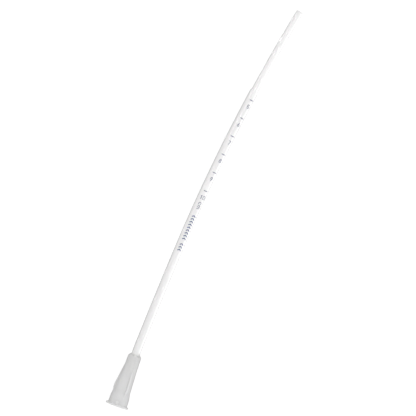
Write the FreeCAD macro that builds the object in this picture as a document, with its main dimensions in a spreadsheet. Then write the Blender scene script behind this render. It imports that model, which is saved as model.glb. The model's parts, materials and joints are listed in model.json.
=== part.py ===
"""Graduated pipette: a thin plastic tube with a printed centimetre scale, bonded into a moulded luer hub.

The pipette lies along +X. The origin is the centre of the hub's mouth, the hub's axis is the X axis,
and the tube leaves the hub along +X, flexes a little beside it, and bows gently towards -Y.
All lengths are millimetres, and distances along the pipette are counted from the mouth.
"""

import FreeCAD, Part
import math
import os

import Sketcher

DIMENSIONS = [
    # the whole pipette, measured along its axis
    ("total_length", 214.5, "mouth of the hub to the end of the tip, along the bow"),
    ("exit_run", 1.5, "tube beyond the hub before it flexes"),
    ("exit_bend_run", 4.0, "stretch that flexes next to the hub"),
    ("exit_bend_radius", 115.0, "bend radius of that stretch"),
    ("straight_run", 15.0, "straight stretch after it"),
    ("gentle_run", 38.0, "stretch that bends the least"),
    ("gentle_radius", 2600.0, "bend radius of that stretch"),
    ("bow_radius", 870.0, "bend radius of the rest of the tube"),
    # tubes
    ("sleeve_radius", 2.15, "outside of the outer sleeve"),
    ("tube_radius", 1.75, "outside of the inner tube"),
    ("lumen_radius", 1.0, "inside of the inner tube"),
    ("bare_tip", 45.0, "inner tube that stands out of the sleeve"),
    ("tip_rounding", 0.65, "rounding of the tip's outer edge"),
    ("sleeve_rounding", 0.3, "rounding of the sleeve's free edge"),
    # hub
    ("hub_length", 26.8, "mouth to the end of the nose"),
    ("rim_radius", 5.8, "finger rim at the mouth"),
    ("rim_thickness", 0.7, "thickness of the rim at its edge"),
    ("rim_rounding", 0.25, "rounding of the rim's edge"),
    ("rim_fillet", 0.7, "fillet between the rim and the skirt"),
    ("skirt_radius", 4.9, "skirt where it meets the rim"),
    ("skirt_end_radius", 4.8, "end of the skirt"),
    ("skirt_height", 4.4, "distance of that section from the mouth"),
    ("body_radius", 4.22, "start of the long taper"),
    ("body_height", 7.2, "distance of that section from the mouth"),
    ("collar_base_radius", 3.45, "start of the collar"),
    ("collar_height", 19.7, "distance of that section from the mouth"),
    ("shoulder_radius", 3.35, "end of the collar, where the nose starts"),
    ("shoulder_height", 25.9, "distance of that section from the mouth"),
    ("shoulder_rounding", 0.7, "rounding of that edge"),
    ("nose_radius", 2.6, "end of the nose"),
    # grip wings on the hub
    ("wing_count", 3, "grip wings, evenly spaced"),
    ("wing_thickness", 1.0, "across a wing"),
    ("wing_root_radius", 2.75, "where a wing's root ends inside the wall"),
    ("wing_foot_radius", 4.55, "outer edge of a wing where it leaves the skirt"),
    ("wing_foot_height", 4.2, "distance of the wing's foot from the mouth"),
    ("wing_step_height", 7.0, "where the outer edge starts to rise"),
    ("wing_peak_radius", 4.9, "outer edge at the top of that rise"),
    ("wing_peak_height", 8.2, "distance of that point from the mouth"),
    ("wing_radius", 5.0, "outer edge at its widest"),
    ("wing_shoulder_height", 10.5, "distance of the widest point from the mouth"),
    ("wing_end_height", 20.4, "where a wing has sunk into the collar"),
    # bores of the hub
    ("luer_mouth_radius", 2.155, "female luer taper at the mouth"),
    ("luer_depth", 8.0, "depth of the taper"),
    ("luer_taper", 0.06, "change of diameter per length"),
    ("funnel_length", 1.0, "cone from the taper down to the lumen"),
    ("socket_floor", 14.5, "where the tube and the sleeve butt, from the mouth"),
    ("cut_overrun", 1.0, "how far a bore's cut runs past the nose"),
    # adhesive
    ("bond_height", 0.3, "adhesive fillet, out from the sleeve"),
    ("bond_length", 1.2, "adhesive fillet, along the sleeve"),
    # printed ink
    ("ink_thickness", 0.05, "thickness of the ink film"),
    ("print_azimuth", 27.0, "degrees from +Z towards -Y to the middle of the first graduation"),
    ("print_winding", 0.17, "degrees that the print winds that way for each millimetre towards the tip"),
    ("bar_width", 2.0, "graduation bar, round the sleeve"),
    ("bar_length", 0.4, "graduation bar, along the sleeve"),
    ("scale_first", 5, "first graduation, in centimetres from the tip"),
    ("scale_last", 10, "last graduation"),
    ("scale_pitch", 10.0, "distance between graduations"),
    ("numeral_height", 2.1, "height of a numeral"),
    ("numeral_width", 1.25, "width of a numeral"),
    ("numeral_gap", 3.5, "bar to the middle of its numeral"),
    ("stroke_width", 0.27, "stroke of the numerals and the unit"),
    ("unit_gap", 7.8, "last bar to the middle of the unit"),
    ("unit_height", 1.5, "height of the unit's letters"),
    ("unit_space", 0.25, "clear space between the unit's letters"),
    ("chevron_gap", 19.7, "last bar to the middle of the long row of chevrons"),
    ("short_chevron_gap", 30.2, "last bar to the middle of the short row"),
    ("chevron_pitch", 1.5, "distance between chevrons"),
    ("chevron_width", 2.0, "chevron, round the sleeve"),
    ("chevron_length", 1.0, "chevron, along the sleeve"),
    ("chevron_stroke", 0.45, "stroke of a chevron"),
    ("chevrons_long", 9, "chevrons in the long row"),
    ("chevrons_short", 3, "chevrons in the short row"),
]

OUT_FOLDER = "parts"
ALONG_X = FreeCAD.Rotation(FreeCAD.Vector(1, 1, 1), 120)  # turns Z to X, X to Y and Y to Z

doc = FreeCAD.newDocument("graduated_pipette")
sheet = doc.addObject("Spreadsheet::Sheet", "Dimensions")
for row, (alias, number, meaning) in enumerate(DIMENSIONS, start=1):
    sheet.set(f"A{row}", alias)
    sheet.set(f"B{row}", str(number))
    sheet.set(f"C{row}", meaning)
    sheet.setAlias(f"B{row}", alias)
doc.recompute()


def size(alias):
    """A driving dimension's number."""
    return float(sheet.get(alias))


def cell(alias):
    """A driving dimension, as an expression names it."""
    return f"Dimensions.{alias}"


# ---------------------------------------------------------------- the line that the tube follows

UP = FreeCAD.Vector(0, 0, 1)


def direction(turned):
    """The way along the tube, once it has turned that many radians from +X towards -Y."""
    return FreeCAD.Vector(math.cos(turned), -math.sin(turned), 0)


def beside(turned):
    """The way across the tube, level and away from the side it bends to."""
    return FreeCAD.Vector(math.sin(turned), math.cos(turned), 0)


class Run:
    """One run of the centre line: straight, or an arc that turns towards -Y."""

    def __init__(self, name, length, radius, start, point, turned):
        self.name = name
        self.length = length  # an expression
        self.radius = radius  # a dimension's name, or None if the run is straight
        self.start = start  # distance from the mouth
        self.point = point
        self.turned = turned

    def centre(self):
        """The centre of the arc."""
        return self.point - beside(self.turned) * size(self.radius)

    def at(self, distance):
        """The point and the turned angle at a distance from the mouth."""
        along = distance - self.start
        if self.radius is None:
            return self.point + direction(self.turned) * along, self.turned
        turned = self.turned + along / size(self.radius)
        return self.centre() + beside(turned) * size(self.radius), turned


def make_runs():
    """The runs from the socket's floor to the tip, each tangent to the one before."""
    socket_end = f"{cell('hub_length')} + {cell('exit_run')}"
    bow_start = f"{socket_end} + {cell('exit_bend_run')} + {cell('straight_run')} + {cell('gentle_run')}"
    plan = [
        ("Socket", f"{socket_end} - {cell('socket_floor')}", None),
        ("Exit", cell("exit_bend_run"), "exit_bend_radius"),
        ("Straight", cell("straight_run"), None),
        ("Gentle", cell("gentle_run"), "gentle_radius"),
        ("Bow", f"{cell('total_length')} - ({bow_start})", "bow_radius"),
    ]
    made = []
    start = size("socket_floor")
    point = FreeCAD.Vector(start, 0, 0)
    turned = 0.0
    for name, length, radius in plan:
        run = Run(name, length, radius, start, point, turned)
        made.append(run)
        start += float(sheet.evalExpression(length))
        point, turned = run.at(start)
    return made


def route_at(distance):
    """The point and the turned angle at a distance from the mouth, anywhere along the line."""
    passed = [run for run in runs if run.start <= distance]
    return (passed or runs)[-1].at(distance)


def graduation(number):
    """The distance of a graduation from the mouth."""
    return size("total_length") - number * size("scale_pitch")


def print_placement(distance):
    """Local Y along the tube to the tip, local Z out of the printed side, local X as one reads."""
    point, turned = route_at(distance)
    wound = size("print_winding") * (distance - graduation(size("scale_first")))
    azimuth = math.radians(size("print_azimuth") + wound)
    outwards = UP * math.cos(azimuth) - beside(turned) * math.sin(azimuth)
    along = direction(turned)
    rotation = FreeCAD.Rotation(along.cross(outwards), along, outwards, "ZYX")
    return FreeCAD.Placement(point, rotation)


runs = make_runs()
parts = []


def keep(feature, label):
    """Gives a finished sub-part its name, and lists it for export."""
    feature.Label = label
    parts.append(feature)
    return feature


# ---------------------------------------------------------------- sketches


def origin_feature(body, role):
    """A body's origin plane or axis."""
    return next(f for f in body.Origin.OriginFeatures if f.Role == role)


def profile(body, name, plane, corners):
    """A closed sketch with straight sides. Each corner is a pair of expressions, for its X and its Y."""
    sketch = body.newObject("Sketcher::SketchObject", name)
    sketch.AttachmentSupport = (origin_feature(body, plane), [""])
    sketch.MapMode = "FlatFace"
    points = [FreeCAD.Vector(*(float(sheet.evalExpression(e)) for e in pair), 0) for pair in corners]
    for i, point in enumerate(points):
        sketch.addGeometry(Part.LineSegment(point, points[(i + 1) % len(points)]))
    for i in range(len(points)):
        sketch.addConstraint(Sketcher.Constraint("Coincident", i, 2, (i + 1) % len(points), 1))
    for i, (pair, point) in enumerate(zip(corners, points)):
        for kind, expression, number in zip(("DistanceX", "DistanceY"), pair, point):
            index = sketch.addConstraint(Sketcher.Constraint(kind, i, 1, number))
            sketch.setExpression(f"Constraints[{index}]", expression)
    doc.recompute()
    return sketch


def revolved(body, kind, sketch, name):
    """A Revolution or a Groove of the sketch about its own vertical axis. Stops if it leaves the volume alone."""
    before = body.Shape.Volume if body.Tip else 0
    feature = body.newObject(f"PartDesign::{kind}", name)
    feature.Profile = sketch
    feature.ReferenceAxis = (sketch, ["V_Axis"])
    feature.Angle = 360
    doc.recompute()
    if abs(body.Shape.Volume - before) < 1e-3:
        raise RuntimeError(f"{name} changed nothing")
    return feature


def circle_edge(shape, radius, height):
    """The name of the round edge of that radius, at that height above the local XY plane."""
    for number, edge in enumerate(shape.Edges, start=1):
        round_edge = isinstance(edge.Curve, Part.Circle)
        if round_edge and math.isclose(edge.Curve.Radius, radius, abs_tol=1e-4):
            if math.isclose(edge.Curve.Center.z, height, abs_tol=1e-4):
                return f"Edge{number}"
    raise RuntimeError(f"no round edge of radius {radius} at {height}")


def rounded(body, radius, height, rounding, name):
    """A Fillet on one round edge of the body's tip. The edge's radius and height are dimensions' names."""
    base = body.Tip
    edge = circle_edge(base.Shape, size(radius), size(height))
    feature = body.newObject("PartDesign::Fillet", name)
    feature.Base = (base, [edge])
    feature.setExpression("Radius", cell(rounding))
    doc.recompute()
    return feature


# ---------------------------------------------------------------- hub


def make_hub():
    """The moulded hub: rim, skirt, long taper, collar, nose, three grip wings, luer socket and tube socket."""
    body = doc.addObject("PartDesign::Body", "Hub")
    outline = [
        ("0", "0"),
        (cell("rim_radius"), "0"),
        (cell("rim_radius"), cell("rim_thickness")),
        (cell("skirt_radius"), cell("rim_thickness")),
        (cell("skirt_end_radius"), cell("skirt_height")),
        (cell("body_radius"), cell("body_height")),
        (cell("collar_base_radius"), cell("collar_height")),
        (cell("shoulder_radius"), cell("shoulder_height")),
        (cell("nose_radius"), cell("hub_length")),
        ("0", cell("hub_length")),
    ]
    revolved(body, "Revolution", profile(body, "HubOutline", "XZ_Plane", outline), "HubBody")
    rounded(body, "skirt_radius", "rim_thickness", "rim_fillet", "RimFillet")
    rounded(body, "shoulder_radius", "shoulder_height", "shoulder_rounding", "ShoulderEdge")
    rounded(body, "rim_radius", "rim_thickness", "rim_rounding", "RimEdge")
    add_wings(body)
    luer = [
        ("0", "0"),
        (cell("luer_mouth_radius"), "0"),
        (
            f"{cell('luer_mouth_radius')} - {cell('luer_depth')} * {cell('luer_taper')} / 2",
            cell("luer_depth"),
        ),
        (cell("lumen_radius"), f"{cell('luer_depth')} + {cell('funnel_length')}"),
        (cell("lumen_radius"), cell("socket_floor")),
        (cell("sleeve_radius"), cell("socket_floor")),
        (cell("sleeve_radius"), f"{cell('hub_length')} + {cell('cut_overrun')}"),
        ("0", f"{cell('hub_length')} + {cell('cut_overrun')}"),
    ]
    revolved(body, "Groove", profile(body, "BoreOutline", "XZ_Plane", luer), "Bores")
    body.Placement = FreeCAD.Placement(FreeCAD.Vector(), ALONG_X)
    keep(body, "luer_hub")


def add_wings(body):
    """One wing, padded both ways from the plane through the axis, and repeated round the axis."""
    outline = [
        (cell("wing_root_radius"), cell("wing_foot_height")),
        (cell("wing_foot_radius"), cell("wing_foot_height")),
        (cell("wing_foot_radius"), cell("wing_step_height")),
        (cell("wing_peak_radius"), cell("wing_peak_height")),
        (cell("wing_radius"), cell("wing_shoulder_height")),
        (cell("collar_base_radius"), cell("wing_end_height")),
        (cell("wing_root_radius"), cell("wing_end_height")),
    ]
    sketch = profile(body, "WingOutline", "XZ_Plane", outline)
    before = body.Shape.Volume
    wing = body.newObject("PartDesign::Pad", "Wing")
    wing.Profile = sketch
    wing.SideType = "Symmetric"
    wing.setExpression("Length", cell("wing_thickness"))
    doc.recompute()
    pattern = body.newObject("PartDesign::PolarPattern", "Wings")
    pattern.Originals = [wing]
    pattern.Axis = (origin_feature(body, "Z_Axis"), [""])
    pattern.Angle = 360
    pattern.setExpression("Occurrences", cell("wing_count"))
    body.Tip = pattern
    doc.recompute()
    if body.Shape.Volume <= before:
        raise RuntimeError("the wings added nothing")


# ---------------------------------------------------------------- tubes


def straight_solid(name, run, radius, length):
    """A straight run as a rod."""
    rod = doc.addObject("Part::Cylinder", name)
    rod.setExpression("Radius", cell(radius))
    rod.setExpression("Height", length)
    turn = FreeCAD.Rotation(UP, -math.degrees(run.turned))
    rod.Placement = FreeCAD.Placement(run.point, turn.multiply(ALONG_X))
    return rod


def bent_solid(name, run, radius, length):
    """A bent run as a slice of a torus about the bend's centre."""
    slice_of_torus = doc.addObject("Part::Torus", name)
    slice_of_torus.setExpression("Radius1", cell(run.radius))
    slice_of_torus.setExpression("Radius2", cell(radius))
    slice_of_torus.setExpression("Angle3", f"({length}) / {cell(run.radius)} * 180 / pi")
    turned_after = run.turned + float(sheet.evalExpression(length)) / size(run.radius)
    first_side = FreeCAD.Rotation(UP, 90 - math.degrees(turned_after))
    slice_of_torus.Placement = FreeCAD.Placement(run.centre(), first_side)
    return slice_of_torus


def solid_run(name, radius, short_by):
    """A solid rod along the route, from the socket's floor to short of the tip by that expression."""
    solids = []
    for run in runs:
        make = straight_solid if run.radius is None else bent_solid
        length = run.length if run is not runs[-1] else f"{run.length} - {short_by}"
        solids.append(make(f"{name}{run.name}", run, radius, length))
    fused = doc.addObject("Part::MultiFuse", name)
    fused.Shapes = solids
    doc.recompute()
    return fused


def end_edge(shape, radius, distance):
    """The number of the round edge of that radius about the route, at that distance from the mouth."""
    middle, _ = route_at(distance)
    for number, edge in enumerate(shape.Edges, start=1):
        if isinstance(edge.Curve, Part.Circle) and edge.Curve.Center.isEqual(middle, 1e-3):
            if math.isclose(edge.Curve.Radius, radius, abs_tol=1e-4):
                return number
    raise RuntimeError(f"no end edge of radius {radius} at {distance}")


def make_tube(name, label, outside, inside, short_by, rounding):
    """A tube bonded on the socket's floor, with its free end's outer edge rounded."""
    outer = solid_run(f"{name}Outside", outside, short_by)
    end = size("total_length") - float(sheet.evalExpression(short_by))
    edge = end_edge(outer.Shape, size(outside), end)
    soft_end = doc.addObject("Part::Fillet", f"{name}Rounded")
    soft_end.Base = outer
    soft_end.Edges = [(edge, size(rounding), size(rounding))]
    tube = doc.addObject("Part::Cut", name)
    tube.Base = soft_end
    tube.Tool = solid_run(f"{name}Inside", inside, short_by)
    keep(tube, label)


def make_tubes():
    """The inner tube, which runs from the hub to the tip, and the sleeve over most of it."""
    make_tube("InnerTube", "inner_tube", "tube_radius", "lumen_radius", "0", "tip_rounding")
    make_tube(
        "OuterSleeve",
        "outer_sleeve",
        "sleeve_radius",
        "tube_radius",
        cell("bare_tip"),
        "sleeve_rounding",
    )


def make_bond():
    """The adhesive fillet round the sleeve where it leaves the collar."""
    body = doc.addObject("PartDesign::Body", "Bond")
    wide = f"{cell('sleeve_radius')} + {cell('bond_height')}"
    outline = [
        (cell("sleeve_radius"), "0"),
        (wide, "0"),
        (f"{cell('sleeve_radius')} + {cell('bond_height')} / 3", f"{cell('bond_length')} / 3"),
        (cell("sleeve_radius"), cell("bond_length")),
    ]
    revolved(body, "Revolution", profile(body, "BondOutline", "XZ_Plane", outline), "BondRing")
    body.Placement = FreeCAD.Placement(FreeCAD.Vector(size("hub_length"), 0, 0), ALONG_X)
    keep(body, "hub_bond")


# ---------------------------------------------------------------- printed ink


def make_bar(number):
    """One graduation: a sector of a thin ring on the sleeve."""
    sector = doc.addObject("Part::Cylinder", f"Bar{number}Outside")
    sector.setExpression("Radius", f"{cell('sleeve_radius')} + {cell('ink_thickness')}")
    sector.setExpression("Height", cell("bar_length"))
    sector.setExpression("Angle", f"{cell('bar_width')} / {cell('sleeve_radius')} * 180 / pi")
    core = doc.addObject("Part::Cylinder", f"Bar{number}Inside")
    core.setExpression("Radius", cell("sleeve_radius"))
    core.setExpression("Height", cell("bar_length"))
    bar = doc.addObject("Part::Cut", f"Bar{number}")
    bar.Base = sector
    bar.Tool = core
    half_turn = math.degrees(size("bar_width") / size("sleeve_radius")) / 2
    centred = FreeCAD.Placement(
        FreeCAD.Vector(0, 0, -size("bar_length") / 2),
        FreeCAD.Rotation(FreeCAD.Vector(0, 0, 1), -half_turn),
    )
    to_print = FreeCAD.Placement(FreeCAD.Vector(), ALONG_X.inverted())
    bar.Placement = print_placement(graduation(number)).multiply(to_print).multiply(centred)
    keep(bar, f"scale_bar_{number}")


# how far the numerals' free strokes reach, in half widths of the glyph
ONE_FLAG = 0.7
FIVE_NECK = 0.8
SIX_SLANT = 0.35
SEVEN_FOOT = 0.3

# where open round strokes start and how far they sweep, in degrees
FIVE_BOWL = (-150, 275)
LETTER_C = (40, 280)

LETTER_M_WIDTH = 1.35  # in letter heights


def line(x0, y0, x1, y1):
    """A straight stroke between two points."""
    return ("line", FreeCAD.Vector(x0, y0, 0), FreeCAD.Vector(x1, y1, 0))


def arc(x, y, radius, start, sweep):
    """A round stroke about a point, from a start angle through a sweep, in degrees."""
    return ("arc", FreeCAD.Vector(x, y, 0), radius, start, sweep)


def glyph_strokes(glyph, width, height):
    """The strokes of a numeral or a letter, as centre lines, about the glyph's middle."""
    right = width / 2
    top = height / 2
    bowl = width / 2
    low = bowl - top
    high = top - bowl
    if glyph == "0":
        return [
            arc(0, high, bowl, 0, 180),
            arc(0, low, bowl, 180, 180),
            line(-right, low, -right, high),
            line(right, low, right, high),
        ]
    if glyph == "1":
        flag = bowl * ONE_FLAG
        return [line(0, -top, 0, top), line(0, top, -flag, top - flag)]
    if glyph == "5":
        neck = right * FIVE_NECK
        return [
            line(right, top, -neck, top),
            line(-neck, top, -right, low + neck),
            arc(0, low, bowl, *FIVE_BOWL),
        ]
    if glyph == "6":
        return [arc(0, low, bowl, 0, 360), line(-right, low, right * SIX_SLANT, top)]
    if glyph == "7":
        return [line(-right, top, right, top), line(right, top, -right * SEVEN_FOOT, -top)]
    if glyph == "8":
        upper = (height - width) / 2
        return [arc(0, low, bowl, 0, 360), arc(0, top - upper, upper, 0, 360)]
    if glyph == "9":
        return [arc(0, high, bowl, 0, 360), line(right, high, -right * SIX_SLANT, -top)]
    if glyph == "c":
        return [arc(0, 0, top, *LETTER_C)]
    if glyph == "m":
        hump = width / 4
        shoulder = top - hump
        return [
            line(-right, -top, -right, top),
            arc(-hump, shoulder, hump, 0, 180),
            line(0, -top, 0, shoulder),
            arc(hump, shoulder, hump, 0, 180),
            line(right, -top, right, shoulder),
        ]
    raise ValueError(f"no strokes for {glyph}")


def shifted(strokes, x, y):
    """The same strokes, moved."""
    move = FreeCAD.Vector(x, y, 0)
    moved = []
    for stroke in strokes:
        if stroke[0] == "line":
            moved.append(("line", stroke[1] + move, stroke[2] + move))
        else:
            moved.append(("arc", stroke[1] + move, *stroke[2:]))
    return moved


def stroke_prism(stroke, width, depth):
    """A stroke with round ends, raised from the tube's axis plane to beyond the ink."""
    if stroke[0] == "line":
        _, start, end = stroke
        along = end - start
        side = UP.cross(along).normalize() * (width / 2)
        corners = [start - side, end - side, end + side, start + side, start - side]
        body = Part.Face(Part.makePolygon(corners)).extrude(UP * depth)
        caps = [start, end]
    else:
        _, centre, radius, first, sweep = stroke
        outer = Part.makeCylinder(radius + width / 2, depth, centre, UP, sweep)
        inner = Part.makeCylinder(radius - width / 2, depth, centre, UP)
        body = outer.cut(inner)
        body.rotate(centre, UP, first)
        angles = [] if sweep == 360 else [math.radians(first), math.radians(first + sweep)]
        caps = [centre + FreeCAD.Vector(math.cos(a), math.sin(a), 0) * radius for a in angles]
    return [body] + [Part.makeCylinder(width / 2, depth, cap, UP) for cap in caps]


def ink(strokes, width, distance, label, length):
    """Strokes wrapped on the sleeve as a thin film, at that distance from the mouth.

    The length along the sleeve is at least that of the strokes.
    """
    depth = size("sleeve_radius") * 2
    solids = [solid for stroke in strokes for solid in stroke_prism(stroke, width, depth)]
    prism = solids[0].multiFuse(solids[1:])
    start = FreeCAD.Vector(0, -length / 2, 0)
    along = FreeCAD.Vector(0, 1, 0)
    outside = size("sleeve_radius") + size("ink_thickness")
    film = Part.makeCylinder(outside, length, start, along)
    film = film.cut(Part.makeCylinder(size("sleeve_radius"), length, start, along))
    mark = doc.addObject("Part::Feature", label.title().replace("_", ""))
    mark.Shape = film.common(prism).removeSplitter()
    mark.Placement = print_placement(distance)
    keep(mark, label)


def make_numeral(number):
    """A graduation's number, upright when the tip is up, on the hub's side of its bar."""
    stroke = size("stroke_width")
    width = size("numeral_width") - stroke
    height = size("numeral_height") - stroke
    digits = str(number)
    step = size("numeral_width") + stroke / 2
    strokes = []
    for place, digit in enumerate(digits):
        x = (place - (len(digits) - 1) / 2) * step
        strokes += shifted(glyph_strokes(digit, width, height), x, 0)
    distance = graduation(number) - size("numeral_gap")
    ink(strokes, stroke, distance, f"scale_number_{number}", size("numeral_height") + stroke)


def turned_strokes(strokes):
    """Strokes turned a quarter clockwise, so that they read from the tip to the hub."""
    made = []
    for stroke in strokes:
        if stroke[0] == "line":
            _, start, end = stroke
            made.append(line(start.y, -start.x, end.y, -end.x))
        else:
            _, centre, radius, first, sweep = stroke
            made.append(arc(centre.y, -centre.x, radius, first - 90, sweep))
    return made


def make_unit():
    """The scale's unit, which reads along the sleeve."""
    stroke = size("stroke_width")
    height = size("unit_height") - stroke
    wide = height * LETTER_M_WIDTH
    space = size("unit_space") + stroke
    length = height + space + wide
    strokes = shifted(glyph_strokes("c", height, height), (height - length) / 2, 0)
    strokes += shifted(glyph_strokes("m", wide, height), (length - wide) / 2, 0)
    distance = graduation(size("scale_last")) - size("unit_gap")
    ink(turned_strokes(strokes), stroke, distance, "scale_unit", length + stroke * 2)


def make_chevrons(count, gap, label):
    """A row of plain chevrons that point to the tip, the way the pipette goes in."""
    half_width = (size("chevron_width") - size("chevron_stroke")) / 2
    half_length = (size("chevron_length") - size("chevron_stroke")) / 2
    strokes = []
    for place in range(count):
        y = (place - (count - 1) / 2) * size("chevron_pitch")
        strokes.append(line(-half_width, y - half_length, 0, y + half_length))
        strokes.append(line(0, y + half_length, half_width, y - half_length))
    distance = graduation(size("scale_last")) - gap
    length = count * size("chevron_pitch") + size("chevron_length")
    ink(strokes, size("chevron_stroke"), distance, label, length)


def make_print():
    """The whole print: bars, numbers, unit and the two rows of chevrons."""
    for number in range(int(size("scale_first")), int(size("scale_last")) + 1):
        make_bar(number)
        make_numeral(number)
    make_unit()
    make_chevrons(int(size("chevrons_long")), size("chevron_gap"), "chevrons_long")
    make_chevrons(int(size("chevrons_short")), size("short_chevron_gap"), "chevrons_short")


# ---------------------------------------------------------------- checks and export


def check():
    """Stops if any object failed to compute, or any sub-part has no sound shape."""
    for feature in doc.Objects:
        if {"Invalid", "Error"} & set(feature.State):
            raise RuntimeError(f"{feature.Label} is {feature.State}")
    for part in parts:
        if part.Shape.isNull() or not part.Shape.isValid() or not part.Shape.Solids:
            raise RuntimeError(f"{part.Label} has no sound shape")


def export():
    """Writes each sub-part to its own STEP file."""
    os.makedirs(OUT_FOLDER, exist_ok=True)
    for part in parts:
        part.Shape.exportStep(os.path.join(OUT_FOLDER, f"{part.Label}.step"))
        print(f"{part.Label:20s} {len(part.Shape.Solids):2d} solids {part.Shape.Volume:10.4f} mm3")


make_hub()
make_tubes()
make_bond()
make_print()
doc.recompute()
check()
export()
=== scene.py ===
"""Looks of the graduated pipette: camera, light and floor, then each piece's fine mesh and its material."""

import json
import math

import bpy
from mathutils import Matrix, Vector

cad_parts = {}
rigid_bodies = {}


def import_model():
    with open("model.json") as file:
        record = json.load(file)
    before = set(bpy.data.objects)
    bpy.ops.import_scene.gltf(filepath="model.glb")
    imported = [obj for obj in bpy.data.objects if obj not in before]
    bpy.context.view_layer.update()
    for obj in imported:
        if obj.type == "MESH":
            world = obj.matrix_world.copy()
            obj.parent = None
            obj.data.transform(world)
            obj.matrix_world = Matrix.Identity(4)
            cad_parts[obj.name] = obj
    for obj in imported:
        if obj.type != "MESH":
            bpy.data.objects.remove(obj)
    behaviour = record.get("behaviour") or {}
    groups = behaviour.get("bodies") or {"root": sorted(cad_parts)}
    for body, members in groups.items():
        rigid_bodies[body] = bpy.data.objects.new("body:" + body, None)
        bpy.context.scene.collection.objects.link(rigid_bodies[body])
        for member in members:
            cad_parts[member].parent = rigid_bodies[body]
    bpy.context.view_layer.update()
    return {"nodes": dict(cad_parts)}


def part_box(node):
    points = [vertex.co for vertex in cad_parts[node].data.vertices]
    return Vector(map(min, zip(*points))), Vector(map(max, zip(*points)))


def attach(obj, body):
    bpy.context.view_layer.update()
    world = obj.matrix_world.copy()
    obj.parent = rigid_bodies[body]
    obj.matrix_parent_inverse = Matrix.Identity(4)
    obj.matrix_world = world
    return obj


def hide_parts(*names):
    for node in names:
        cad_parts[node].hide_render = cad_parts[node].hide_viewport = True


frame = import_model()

MM = 0.001
BODY = "root"

# ---------------------------------------------------------------- sizes, from the frame and the CAD's route

HUB_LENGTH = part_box("luer_hub")[1].x
RIM_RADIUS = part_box("luer_hub")[1].y
SOCKET_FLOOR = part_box("outer_sleeve")[0].x
SLEEVE_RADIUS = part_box("outer_sleeve")[1].y
TUBE_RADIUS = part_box("inner_tube")[1].y
BOND_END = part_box("hub_bond")[1].x
BOND_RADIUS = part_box("hub_bond")[1].y
FLOOR_AT_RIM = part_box("luer_hub")[0].z
FLOOR_AT_TIP = -TUBE_RADIUS
TIP_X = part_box("inner_tube")[1].x

TOTAL_LENGTH = 214.5 * MM
BARE_TIP = 45.0 * MM
LUMEN_RADIUS = 1.0 * MM
TIP_ROUNDING = 0.65 * MM
SLEEVE_ROUNDING = 0.3 * MM

EXIT_RUN = 1.5 * MM
FLEX_RUN = 4.0 * MM
FLEX_RADIUS = 115.0 * MM
STRAIGHT_RUN = 15.0 * MM
GENTLE_RUN = 38.0 * MM
GENTLE_RADIUS = 2600.0 * MM
BOW_RADIUS = 870.0 * MM

# the runs of the centre line from the mouth on: length and bend radius, where None is straight
RUNS = [
    (HUB_LENGTH + EXIT_RUN, None),
    (FLEX_RUN, FLEX_RADIUS),
    (STRAIGHT_RUN, None),
    (GENTLE_RUN, GENTLE_RADIUS),
    (TOTAL_LENGTH, BOW_RADIUS),
]


# ---------------------------------------------------------------- the line that the tube follows


def along(turned):
    """The way along the tube, once it has turned that many radians from +X towards -Y."""
    return Vector((math.cos(turned), -math.sin(turned), 0))


def across(turned):
    """The way across the tube, level and away from the side it bends to."""
    return Vector((math.sin(turned), math.cos(turned), 0))


def route(distance):
    """The point and the turned angle at a distance from the mouth, along the pipette's axis."""
    point = Vector((0, 0, 0))
    turned = 0.0
    for length, radius in RUNS:
        here = min(length, distance)
        if radius is None:
            point += along(turned) * here
        else:
            centre = point - across(turned) * radius
            turned += here / radius
            point = centre + across(turned) * radius
        distance -= here
        if distance <= 0:
            break
    return point, turned


def around(distance, radius, angle):
    """A point beside the axis. The angle is in radians, from +Z towards -Y."""
    point, turned = route(distance)
    return point + (Vector((0, 0, 1)) * math.cos(angle) - across(turned) * math.sin(angle)) * radius


# ---------------------------------------------------------------- mesh helpers

SHARP_EDGE = math.radians(40)


def spaced(start, end, step):
    """Evenly spaced numbers from start to end, about step apart, both ends included."""
    count = max(1, round(abs(end - start) / step))
    return [start + (end - start) * i / count for i in range(count + 1)]


def full_circle(sides):
    """Evenly spaced angles round the axis."""
    return [2 * math.pi * i / sides for i in range(sides)]


def arc(centre, radius, start, end, steps=8):
    """Points of an arc in the (distance, radius) plane. Its angles are in degrees, 0 along the distance."""
    points = []
    for i in range(steps + 1):
        angle = math.radians(start + (end - start) * i / steps)
        points.append((centre[0] + radius * math.cos(angle), centre[1] + radius * math.sin(angle)))
    return points


def bands(rings, sides):
    """Quads between that many bands of vertices and the next ones, facing outwards."""
    faces = []
    for i in range(rings):
        for j in range(sides):
            k = (j + 1) % sides
            faces.append((i * sides + j, i * sides + k, (i + 1) * sides + k, (i + 1) * sides + j))
    return faces


def ring_mesh(name, stations, angles, radius_at=None):
    """A closed skin of rings about the route. Stations are (distance, radius) pairs that form a loop.

    radius_at(distance, radius, angle), if given, says how far out a station's point lies.
    """
    vertices = []
    for distance, radius in stations:
        for angle in angles:
            out = radius_at(distance, radius, angle) if radius_at else radius
            vertices.append(around(distance, out, angle))
    rings = len(stations)
    sides = len(angles)
    faces = [tuple(corner % len(vertices) for corner in face) for face in bands(rings, sides)]
    mesh = bpy.data.meshes.new(name)
    mesh.from_pydata(vertices, [], faces)
    uv = mesh.uv_layers.new(name="route")
    for face in mesh.polygons:
        i, j = divmod(face.index, sides)
        corners = ((i, j), (i, j + 1), (i + 1, j + 1), (i + 1, j))
        for loop, (ring, side) in zip(face.loop_indices, corners):
            distance = stations[ring % rings][0]
            uv.data[loop].uv = (side / sides, distance)
    mesh.shade_smooth()
    mesh.set_sharp_from_angle(angle=SHARP_EDGE)
    return mesh


def piece(name, mesh, node, material):
    """Adds a finished piece. It rides on the object and stands for its CAD node, if it has one."""
    made = bpy.data.objects.new(name, mesh)
    bpy.context.scene.collection.objects.link(made)
    mesh.materials.append(material)
    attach(made, BODY)
    if node:
        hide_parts(node)


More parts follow.
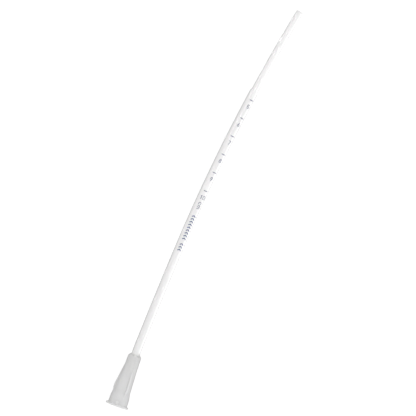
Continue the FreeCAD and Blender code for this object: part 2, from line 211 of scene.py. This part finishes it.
# ---------------------------------------------------------------- material helpers


class Shader:
    """A material's node tree, with short ways to add and join nodes."""

    def __init__(self, name):
        self.material = bpy.data.materials.new(name)
        self.material.use_nodes = True
        self.nodes = self.material.node_tree.nodes
        self.links = self.material.node_tree.links
        self.nodes.clear()
        self.output = self.nodes.new("ShaderNodeOutputMaterial")

    def add(self, kind, inputs=(), **settings):
        """A node with its settings, and with its inputs set to values or joined to sockets."""
        node = self.nodes.new(kind)
        for key, value in settings.items():
            setattr(node, key, value)
        for key, value in dict(inputs).items():
            if isinstance(value, bpy.types.NodeSocket):
                self.links.new(value, node.inputs[key])
            else:
                node.inputs[key].default_value = value
        return node

    def noise(self, vector, scale=1.0, detail=2.0, roughness=0.5):
        """A noise texture's value. The scale is how many cells there are to a unit of the coordinates."""
        inputs = {"Vector": vector, "Scale": scale, "Detail": detail, "Roughness": roughness}
        return self.add("ShaderNodeTexNoise", inputs).outputs["Fac"]

    def stretched(self, vector, factors):
        """Coordinates multiplied by factors."""
        inputs = {"Vector": vector, "Scale": factors}
        return self.add("ShaderNodeMapping", inputs).outputs["Vector"]

    def ramp(self, value, low, high):
        """A value mapped from the 0 to 1 range to a low to high range."""
        inputs = {"Value": value, "To Min": low, "To Max": high}
        return self.add("ShaderNodeMapRange", inputs).outputs["Result"]

    def blend(self, value, first, second):
        """A colour between two colours."""
        node = self.add("ShaderNodeMix", data_type="RGBA")
        self.links.new(value, node.inputs["Factor"])
        node.inputs[6].default_value = (*first, 1)
        node.inputs[7].default_value = (*second, 1)
        return node.outputs[2]

    def bump(self, height, distance):
        """A normal bent by a height field, whose full range is that distance in metres."""
        inputs = {"Height": height, "Distance": distance, "Strength": 1.0}
        return self.add("ShaderNodeBump", inputs).outputs["Normal"]

    def finish(self, surface):
        """Joins the surface to the output, and gives the material."""
        self.links.new(surface, self.output.inputs["Surface"])
        return self.material


# ---------------------------------------------------------------- materials


def grey(level):
    """A neutral colour."""
    return (level, level, level)


def tube_plastic(name, low, high, rough):
    """Milky extruded plastic: fine draw lines along the tube, faint clouding across it, a glossy skin."""
    shader = Shader(name)
    route_uv = shader.add("ShaderNodeUVMap", uv_map="route").outputs["UV"]
    position = shader.add("ShaderNodeTexCoord").outputs["Object"]
    lines = shader.noise(shader.stretched(route_uv, (40, 60, 1)), detail=3.0)
    clouds = shader.noise(position, scale=140.0, detail=3.0)
    grain = shader.noise(position, scale=2600.0)
    inputs = {
        "Base Color": shader.blend(clouds, low, high),
        "Roughness": shader.ramp(grain, rough - 0.05, rough + 0.08),
        "IOR": 1.55,
        "Coat Weight": 1.0,
        "Coat IOR": 1.8,
        "Coat Roughness": 0.12,
        "Normal": shader.bump(lines, 0.0015 * MM),
    }
    return shader.finish(shader.add("ShaderNodeBsdfPrincipled", inputs).outputs["BSDF"])


def hub_plastic(name, low, high, depth):
    """Moulded satin plastic with a fine spark-eroded texture. Depth is how much light goes about inside."""
    shader = Shader(name)
    position = shader.add("ShaderNodeTexCoord").outputs["Object"]
    clouds = shader.noise(position, scale=160.0, detail=3.0)
    grain = shader.noise(position, scale=5200.0, detail=3.0, roughness=0.6)
    flow = shader.noise(shader.stretched(position, (120, 500, 500)), detail=3.0)
    height = shader.add(
        "ShaderNodeMath", {0: grain, 1: shader.ramp(flow, 0.0, 0.6)}, operation="ADD"
    ).outputs["Value"]
    inputs = {
        "Base Color": shader.blend(clouds, low, high),
        "Roughness": shader.ramp(grain, 0.28, 0.38),
        "IOR": 1.45,
        "Subsurface Weight": depth,
        "Subsurface Radius": (1.0, 1.0, 1.05),
        "Subsurface Scale": 3.0 * MM,
        "Normal": shader.bump(height, 0.012 * MM),
    }
    return shader.finish(shader.add("ShaderNodeBsdfPrincipled", inputs).outputs["BSDF"])


def adhesive():
    """Milky set adhesive, glossy, with small ripples."""
    shader = Shader("adhesive")
    position = shader.add("ShaderNodeTexCoord").outputs["Object"]
    ripples = shader.noise(position, scale=900.0)
    inputs = {
        "Base Color": shader.blend(ripples, (0.85, 0.85, 0.84), (0.91, 0.91, 0.90)),
        "Roughness": shader.ramp(ripples, 0.08, 0.2),
        "IOR": 1.48,
        "Transmission Weight": 0.08,
        "Normal": shader.bump(ripples, 0.03 * MM),
    }
    return shader.finish(shader.add("ShaderNodeBsdfPrincipled", inputs).outputs["BSDF"])


def printed_ink(name, low, high):
    """Dark blue pad print, a little thin in specks."""
    shader = Shader(name)
    position = shader.add("ShaderNodeTexCoord").outputs["Object"]
    specks = shader.noise(position, scale=6500.0, detail=3.0, roughness=0.65)
    patches = shader.noise(position, scale=900.0)
    both = shader.add(
        "ShaderNodeMath", {0: specks, 1: patches}, operation="MULTIPLY"
    ).outputs["Value"]
    inputs = {
        "Base Color": shader.blend(both, low, high),
        "Roughness": shader.ramp(specks, 0.35, 0.6),
        "Normal": shader.bump(specks, 0.01 * MM),
    }
    return shader.finish(shader.add("ShaderNodeBsdfPrincipled", inputs).outputs["BSDF"])


# ---------------------------------------------------------------- tubes

TUBE_SIDES = 96
RING_STEP = 1.5 * MM

# how far the tube's skin stays inside the sleeve's bore and short of the end of the tip
SKIN_GAP = 0.004 * MM


def tube_stations(start, end, outside, inside, rounding):
    """The loop of stations of a tube: outside, rounded free end, inside and square root."""
    outer = [(d, outside) for d in spaced(start, end - rounding, RING_STEP)]
    edge = arc((end - rounding, outside - rounding), rounding, 90, 0)[1:]
    inner = [(d, inside) for d in spaced(end, start, RING_STEP)]
    return outer + edge + inner


def make_tubes():
    """The inner tube and the sleeve over it."""
    bare = tube_plastic("tube_plastic", grey(0.82), grey(0.86), rough=0.25)
    covered = tube_plastic("sleeve_plastic", grey(0.80), grey(0.83), rough=0.28)
    angles = full_circle(TUBE_SIDES)
    stations = tube_stations(
        SOCKET_FLOOR, TOTAL_LENGTH - SKIN_GAP, TUBE_RADIUS - SKIN_GAP, LUMEN_RADIUS, TIP_ROUNDING
    )
    piece("tube", ring_mesh("tube", stations, angles), "inner_tube", bare)
    stations = tube_stations(
        SOCKET_FLOOR, TOTAL_LENGTH - BARE_TIP, SLEEVE_RADIUS, TUBE_RADIUS, SLEEVE_ROUNDING
    )
    piece("sleeve", ring_mesh("sleeve", stations, angles), "outer_sleeve", covered)


# ---------------------------------------------------------------- hub

RIM_THICKNESS = 0.7 * MM
RIM_ROUNDING = 0.25 * MM
RIM_FILLET = 0.7 * MM
MOUTH_ROUNDING = 0.12 * MM
SHOULDER_ROUNDING = 0.7 * MM
SHOULDER = 25.9 * MM
NOSE_RADIUS = 2.6 * MM

# the hub's outside from the rim to the shoulder: distance from the mouth and radius
HUB_OUTLINE = [
    (RIM_THICKNESS, 4.9 * MM),
    (4.4 * MM, 4.8 * MM),
    (7.2 * MM, 4.22 * MM),
    (19.7 * MM, 3.45 * MM),
    (SHOULDER, 3.35 * MM),
]
LUER_MOUTH_RADIUS = 2.155 * MM
LUER_DEPTH = 8.0 * MM
LUER_TAPER = 0.06
FUNNEL_LENGTH = 1.0 * MM

WING_ANGLES = [math.radians(a) for a in (-90, 30, 150)]
WING_HALF_THICKNESS = 0.5 * MM
WING_ROUNDING = 0.3 * MM
WING_FILLET = 0.7 * MM

# how far round from its middle a wing can shape the hub
WING_SIDE = math.radians(60)

# a wing's outer edge: distance from the mouth and radius
WING_OUTLINE = [
    (4.2 * MM, 4.55 * MM),
    (7.0 * MM, 4.55 * MM),
    (8.2 * MM, 4.9 * MM),
    (10.5 * MM, 5.0 * MM),
    (20.4 * MM, 3.45 * MM),
]

# the mould's parting line, opposite the wing that lies in its plane
SEAM_ANGLE = math.radians(90)
SEAM_HEIGHT = 0.035 * MM
SEAM_HALF_WIDTH = 0.12 * MM

# how fine the hub's mesh is: its sides, the closer ones about a wing and the parting line, and its rings
HUB_SIDES = 120
WING_REACH = math.radians(15)
WING_STEP = math.radians(0.5)
SEAM_REACH = math.radians(2)
SEAM_STEP = math.radians(0.25)
BODY_STEP = 0.2 * MM
BORE_STEP = 2.0 * MM
TAPER_STEP = 1.0 * MM

# the mark where the plastic went into the mould, on the skirt, and how deep it reaches into it
BUTTON_SIDES = 48
GATE_DISTANCE = 2.0 * MM
GATE_ANGLE = math.radians(-4)
GATE_RADIUS = 0.8 * MM
GATE_HEIGHT = 0.16 * MM
GATE_SINK = 0.3 * MM

# its profile from the middle outwards: a pip, a hollow and a raised edge, in parts of its radius and height
GATE_PROFILE = [
    (0.02, 0.75),
    (0.16, 0.65),
    (0.26, 0.2),
    (0.6, 0.1),
    (0.68, 0.8),
    (0.76, 1.0),
    (0.88, 1.0),
    (0.96, 0.8),
    (1.0, 0.4),
]


def between(x, x0, x1, y0, y1):
    """Straight-line interpolation."""
    return y0 + (y1 - y0) * (x - x0) / (x1 - x0)


def on_outline(outline, distance):
    """The radius of an outline at a distance from the mouth."""
    for (start, first), (end, last) in zip(outline, outline[1:]):
        if distance <= end:
            break
    return between(distance, start, end, first, last)


def soft_min(a, b, width):
    """The smaller number, rounded off where the two are within a width of each other."""
    mix = max(0.0, min(1.0, 0.5 + 0.5 * (b - a) / width))
    return b * (1 - mix) + a * mix - width * mix * (1 - mix)


def soft_max(a, b, width):
    """The larger number, rounded off where the two are within a width of each other."""
    return -soft_min(-a, -b, width)


def turn_between(angle, other):
    """How far an angle is from another, the short way round."""
    return (angle - other + math.pi) % (2 * math.pi) - math.pi


def hub_radius(distance, radius, angle):
    """The hub's outside with its wings and parting line. The bores and the nose keep their plain radius."""
    if radius <= NOSE_RADIUS:
        return radius
    seam = abs(turn_between(angle, SEAM_ANGLE)) * radius / SEAM_HALF_WIDTH
    if seam < 1 and distance > RIM_THICKNESS / 2:
        radius += SEAM_HEIGHT * (1 + math.cos(math.pi * seam)) / 2
    if WING_OUTLINE[0][0] <= distance <= WING_OUTLINE[-1][0]:
        for wing in WING_ANGLES:
            off = turn_between(angle, wing)
            if abs(off) < WING_SIDE:
                side = WING_HALF_THICKNESS / max(abs(math.sin(off)), 1e-6)
                crest = on_outline(WING_OUTLINE, distance) / math.cos(off)
                radius = soft_max(radius, soft_min(side, crest, WING_ROUNDING), WING_FILLET)
    return radius


def hub_angles():
    """Angles round the hub, close together at the wings and at the parting line."""
    ridges = [(wing, WING_REACH, WING_STEP) for wing in WING_ANGLES]
    ridges.append((SEAM_ANGLE, SEAM_REACH, SEAM_STEP))
    angles = [a for a in full_circle(HUB_SIDES) if all(abs(turn_between(a, r)) > w for r, w, _ in ridges)]
    for middle, reach, step in ridges:
        angles += [a % (2 * math.pi) for a in spaced(middle - reach, middle + reach, step)]
    return sorted(angles)


def rounded_corner(before, corner, after, rounding, steps=8):
    """Points of the arc that rounds a corner of an outline in the (distance, radius) plane."""
    corner = Vector(corner)
    to_before = (Vector(before) - corner).normalized()
    to_after = (Vector(after) - corner).normalized()
    half = to_before.angle(to_after) / 2
    centre = corner + (to_before + to_after).normalized() * (rounding / math.sin(half))
    reach = rounding / math.tan(half)
    first = corner + to_before * reach - centre
    last = corner + to_after * reach - centre
    return [centre + first.slerp(last, i / steps) * rounding for i in range(steps + 1)]


def hub_stations():
    """The loop of stations of the hub: rim, body, collar, nose, tube socket, lumen, luer taper and mouth."""
    rim = arc((MOUTH_ROUNDING, RIM_RADIUS - MOUTH_ROUNDING), MOUTH_ROUNDING, 180, 90, 4)
    rim += arc((RIM_THICKNESS - RIM_ROUNDING, RIM_RADIUS - RIM_ROUNDING), RIM_ROUNDING, 90, 0, 6)
    foot = rounded_corner((RIM_THICKNESS, RIM_RADIUS), HUB_OUTLINE[0], HUB_OUTLINE[1], RIM_FILLET)
    nose = (HUB_LENGTH, NOSE_RADIUS)
    shoulder = rounded_corner(HUB_OUTLINE[-2], HUB_OUTLINE[-1], nose, SHOULDER_ROUNDING)
    body = [
        (d, on_outline(HUB_OUTLINE, d))
        for d in spaced(foot[-1][0], shoulder[0][0], BODY_STEP)[1:-1]
    ]
    luer_end_radius = LUER_MOUTH_RADIUS - LUER_DEPTH * LUER_TAPER / 2
    bores = [(d, SLEEVE_RADIUS) for d in spaced(HUB_LENGTH, SOCKET_FLOOR, BORE_STEP)]
    bores += [(d, LUMEN_RADIUS) for d in spaced(SOCKET_FLOOR, LUER_DEPTH + FUNNEL_LENGTH, BORE_STEP)]
    bores += [
        (d, between(d, 0, LUER_DEPTH, LUER_MOUTH_RADIUS, luer_end_radius))
        for d in spaced(LUER_DEPTH, MOUTH_ROUNDING, TAPER_STEP)
    ]
    lip = arc((MOUTH_ROUNDING, LUER_MOUTH_RADIUS + MOUTH_ROUNDING), MOUTH_ROUNDING, 270, 180, 4)[1:]
    return rim + foot + body + shoulder + [nose] + bores + lip


def button(name, distance, angle, foot, profile):
    """A small round body on the hub. Its profile is points, out from its middle and up from its foot."""
    vertices = []
    for out, up in profile:
        for turn in full_circle(BUTTON_SIDES):
            along_hub = distance + out * math.cos(turn)
            aside = angle + out * math.sin(turn) / foot
            vertices.append(around(along_hub, foot + up, aside))
    top = tuple(reversed(range(BUTTON_SIDES)))
    bottom = tuple(range(len(vertices) - BUTTON_SIDES, len(vertices)))
    faces = [top, bottom] + bands(len(profile) - 1, BUTTON_SIDES)
    mesh = bpy.data.meshes.new(name)
    mesh.from_pydata(vertices, [], faces)
    mesh.shade_smooth()
    mesh.set_sharp_from_angle(angle=SHARP_EDGE)
    return mesh


def gate_mark():
    """The gate's low round button, which reaches into the skirt."""
    profile = [(out * GATE_RADIUS, up * GATE_HEIGHT) for out, up in GATE_PROFILE]
    profile.append((GATE_RADIUS, -GATE_SINK))
    return button("gate_mark", GATE_DISTANCE, GATE_ANGLE, on_outline(HUB_OUTLINE, GATE_DISTANCE), profile)


def make_hub():
    """The moulded hub, with its gate mark, whose paler plastic is a painted highlight."""
    material = hub_plastic("hub_plastic", grey(0.68), grey(0.72), depth=0.85)
    mesh = ring_mesh("hub", hub_stations(), hub_angles(), hub_radius)
    piece("hub", mesh, "luer_hub", material)
    # the gate button is real shape; its plastic is a paler copy of the hub's with no light inside it, a
    # painted highlight on the button
    gate_painted_highlight_plastic = hub_plastic("gate_plastic_painted_highlight", grey(0.76), grey(0.80), depth=0.0)
    piece("gate_mark", gate_mark(), None, gate_painted_highlight_plastic)


# ---------------------------------------------------------------- adhesive

BOND_STEPS = 12
BOND_BITE = 0.02 * MM
BOND_WANDER = 0.25

# a small bead of it that has set on the shoulder, with its foot's distance from the axis
BEAD_DISTANCE = 26.2 * MM
BEAD_ANGLE = math.radians(5)
BEAD_FOOT = 3.0 * MM
BEAD_RADIUS = 0.6 * MM
BEAD_HEIGHT = 0.4 * MM


def make_bond():
    """The adhesive's concave fillet, with an edge that wanders a little, and the bead."""
    width = BOND_RADIUS - SLEEVE_RADIUS
    length = BOND_END - HUB_LENGTH
    stations = [
        (HUB_LENGTH + length * (1 - along_part), SLEEVE_RADIUS + width * (1 - out_part))
        for along_part, out_part in arc((0, 0), 1.0, 0, 90, BOND_STEPS)
    ]
    stations.append((HUB_LENGTH, SLEEVE_RADIUS - BOND_BITE))

    def wavy(distance, radius, angle):
        proud = max(radius - SLEEVE_RADIUS, 0)
        return radius - proud * BOND_WANDER * (1 + math.sin(3 * angle + 1) * math.cos(2 * angle))

    milky = adhesive()
    mesh = ring_mesh("bond", stations, full_circle(TUBE_SIDES), wavy)
    piece("bond", mesh, "hub_bond", milky)
    profile = [(out * BEAD_RADIUS, up * BEAD_HEIGHT) for up, out in arc((0, 0), 1.0, 1, 90)]
    profile.append((BEAD_RADIUS, -BEAD_RADIUS))
    bead = button("bond_bead", BEAD_DISTANCE, BEAD_ANGLE, BEAD_FOOT, profile)
    piece("bond_bead", bead, None, milky)


# ---------------------------------------------------------------- print


def finish_print():
    """The printed marks keep their CAD shape and get the ink, which is denser and bluer on the chevrons."""
    inks = {
        "scale": printed_ink("scale_ink", (0.07, 0.08, 0.14), (0.20, 0.215, 0.31)),
        "chevrons": printed_ink("chevron_ink", (0.02, 0.035, 0.14), (0.09, 0.12, 0.29)),
    }
    for name, node in frame["nodes"].items():
        ink = inks.get(name.split("_")[0])
        if ink:
            node.data.materials.clear()
            node.data.materials.append(ink)


# ---------------------------------------------------------------- camera, light and floor

HUB_LEAN = math.radians(20.1)
VIEW_WIDTH = 205.0 * MM
LENS = 200.0
SENSOR = 36.0
AIM = Vector((106.94 * MM, -8.72 * MM, 0))

PICTURE_RIGHT = Vector((math.sin(HUB_LEAN), -math.cos(HUB_LEAN), 0))
PICTURE_UP = Vector((math.cos(HUB_LEAN), math.sin(HUB_LEAN), 0))
TOWARDS_CAMERA = Vector((0, 0, 1))

# the white room: its tent above, the dimmer light from under the table's level, and where the two meet
TENT_LIGHT = 0.9
UNDER_LIGHT = 0.34
TENT_EDGE = (-0.3, 0.2)

# the window low on the picture's right, square to the tube's middle: the window itself and the glow round it
WINDOW_DIP = math.radians(8)
WINDOW_TURN = math.radians(7)
WINDOW_SIDE = -across(WINDOW_TURN) * math.cos(WINDOW_DIP) - TOWARDS_CAMERA * math.sin(WINDOW_DIP)
WINDOW_GLOW = 0.3
WINDOW_REACH = math.radians(60)
WINDOW_DISTANCE = 1.5
WINDOW_SIZE = 1.5
WINDOW_POWER = 8.5

KEY_WAY = PICTURE_UP + PICTURE_RIGHT * 0.3 + TOWARDS_CAMERA * 1.3
KEY_DISTANCE = 1.5
KEY_SIZE = 0.12
KEY_POWER = 2.5

FLOOR_REACH = 4.0


def make_camera():
    """Straight above the pipette, with a long lens, rolled so that the hub leans to the left."""
    data = bpy.data.cameras.new("camera")
    data.lens = LENS
    data.sensor_width = SENSOR
    camera = bpy.data.objects.new("camera", data)
    bpy.context.scene.collection.objects.link(camera)
    camera.location = AIM + TOWARDS_CAMERA * (VIEW_WIDTH * LENS / SENSOR)
    camera.rotation_euler = (0, 0, math.atan2(PICTURE_RIGHT.y, PICTURE_RIGHT.x))
    bpy.context.scene.camera = camera


def area_light(name, direction, distance, side, power):
    """A square light that faces the pipette from that direction."""
    data = bpy.data.lights.new(name, "AREA")
    data.size = side
    data.energy = power
    light = bpy.data.objects.new(name, data)
    bpy.context.scene.collection.objects.link(light)
    direction = direction.normalized()
    light.location = AIM + direction * distance
    light.rotation_euler = (-direction).to_track_quat("-Z", "Y").to_euler()
    return light


def make_lights():
    """A small key light from beyond the tip, in the white room."""
    area_light("key", KEY_WAY, KEY_DISTANCE, KEY_SIZE, KEY_POWER)
    make_room()
    bpy.context.scene.view_settings.view_transform = "Standard"


def make_room():
    """A white tent, dimmer from under the table's level, with the window's glow on the picture's right."""
    world = bpy.data.worlds.new("room")
    bpy.context.scene.world = world
    world.use_nodes = True
    nodes = world.node_tree.nodes
    links = world.node_tree.links
    direction = nodes.new("ShaderNodeTexCoord").outputs["Generated"]

    def towards(way, start, end, low, high):
        """A number that grows from low to high as a direction comes nearer to that way."""
        nearness = nodes.new("ShaderNodeVectorMath")
        nearness.operation = "DOT_PRODUCT"
        nearness.inputs[1].default_value = way
        links.new(direction, nearness.inputs[0])
        grown = nodes.new("ShaderNodeMapRange")
        grown.interpolation_type = "SMOOTHSTEP"
        for name, number in zip(("From Min", "From Max", "To Min", "To Max"), (start, end, low, high)):
            grown.inputs[name].default_value = number
        links.new(nearness.outputs["Value"], grown.inputs["Value"])
        return grown.outputs["Result"]

    tent = towards(TOWARDS_CAMERA, *TENT_EDGE, UNDER_LIGHT, TENT_LIGHT)
    glow = towards(WINDOW_SIDE, math.cos(WINDOW_REACH), 1.0, 0.0, WINDOW_GLOW)
    both = nodes.new("ShaderNodeMath")
    links.new(tent, both.inputs[0])
    links.new(glow, both.inputs[1])
    links.new(both.outputs["Value"], nodes["Background"].inputs["Strength"])
    nodes["Background"].inputs["Color"].default_value = (1.0, 1.0, 1.0, 1)


def make_window():
    """The soft window, which is flagged off the hub and lights the tubes and the print."""
    lit = bpy.data.collections.new("lit_by_window")
    for thing in bpy.data.objects:
        if thing.name in ("tube", "sleeve") or thing.name.startswith(("scale_", "chevrons_")):
            lit.objects.link(thing)
    window = area_light("window", WINDOW_SIDE, WINDOW_DISTANCE, WINDOW_SIZE, WINDOW_POWER)
    window.light_linking.receiver_collection = lit


def make_floor():
    """A plain white table that the rim and the tip both touch, whose own light stays off the pipette."""
    slope = math.atan2(FLOOR_AT_TIP - FLOOR_AT_RIM, TIP_X)
    mesh = bpy.data.meshes.new("floor")
    corners = [(x * FLOOR_REACH, y * FLOOR_REACH, 0) for x, y in ((-1, -1), (1, -1), (1, 1), (-1, 1))]
    mesh.from_pydata(corners, [], [(0, 1, 2, 3)])
    floor = bpy.data.objects.new("floor", mesh)
    floor.location = (0, 0, FLOOR_AT_RIM)
    floor.rotation_euler = (0, -slope, 0)
    bpy.context.scene.collection.objects.link(floor)
    shader = Shader("white_table")
    position = shader.add("ShaderNodeTexCoord").outputs["Object"]
    tone = shader.noise(position, scale=30.0)
    inputs = {
        "Base Color": shader.blend(tone, grey(0.24), grey(0.26)),
        "Roughness": 0.9,
        "Emission Color": (1, 1, 1, 1),
        "Emission Strength": 0.85,
    }
    surface = shader.add("ShaderNodeBsdfPrincipled", inputs).outputs["BSDF"]
    mesh.materials.append(shader.finish(surface))
    floor.visible_diffuse = False
    floor.visible_glossy = False
    floor.visible_transmission = False
    floor.visible_shadow = False


make_camera()
make_lights()
make_floor()
make_tubes()
make_hub()
make_bond()
finish_print()
make_window()

bpy.context.view_layer.update()
